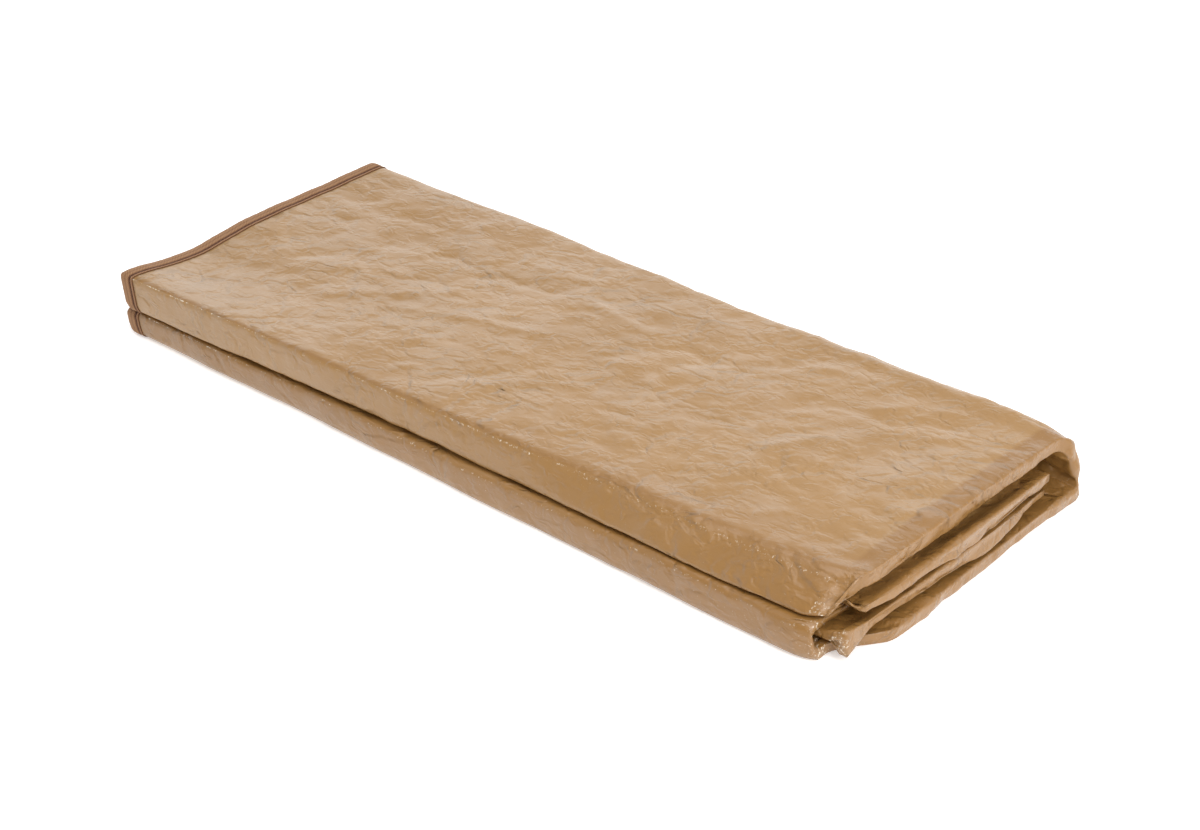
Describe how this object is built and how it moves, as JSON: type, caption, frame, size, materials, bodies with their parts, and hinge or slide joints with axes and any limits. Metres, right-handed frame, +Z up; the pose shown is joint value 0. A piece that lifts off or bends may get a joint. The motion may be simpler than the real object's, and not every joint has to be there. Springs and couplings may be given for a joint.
{
  "type": "folded tent footprint",
  "caption": "Groundsheet of coated cloth with a sewn edge binding, folded into a long flat packet that closes like a book.",
  "frame": {"origin": "middle of the underside of the folded packet", "axes": "+X along the packet from its bound ends to the half fold, +Y from the open front to the spine fold, +Z up"},
  "size_m": [0.7806, 0.3258, 0.0615],
  "materials": {
    "coated_cloth": "ochre brown woven sheet with a satin coating, softly crinkled, with worn pale crease lines",
    "binding_tape": "matt reddish brown ribbed tape with a row of stitches"
  },
  "bodies": {
    "root": {"folded_sheet": "coated_cloth", "edge_binding": "binding_tape"}
  },
  "joints": []
}
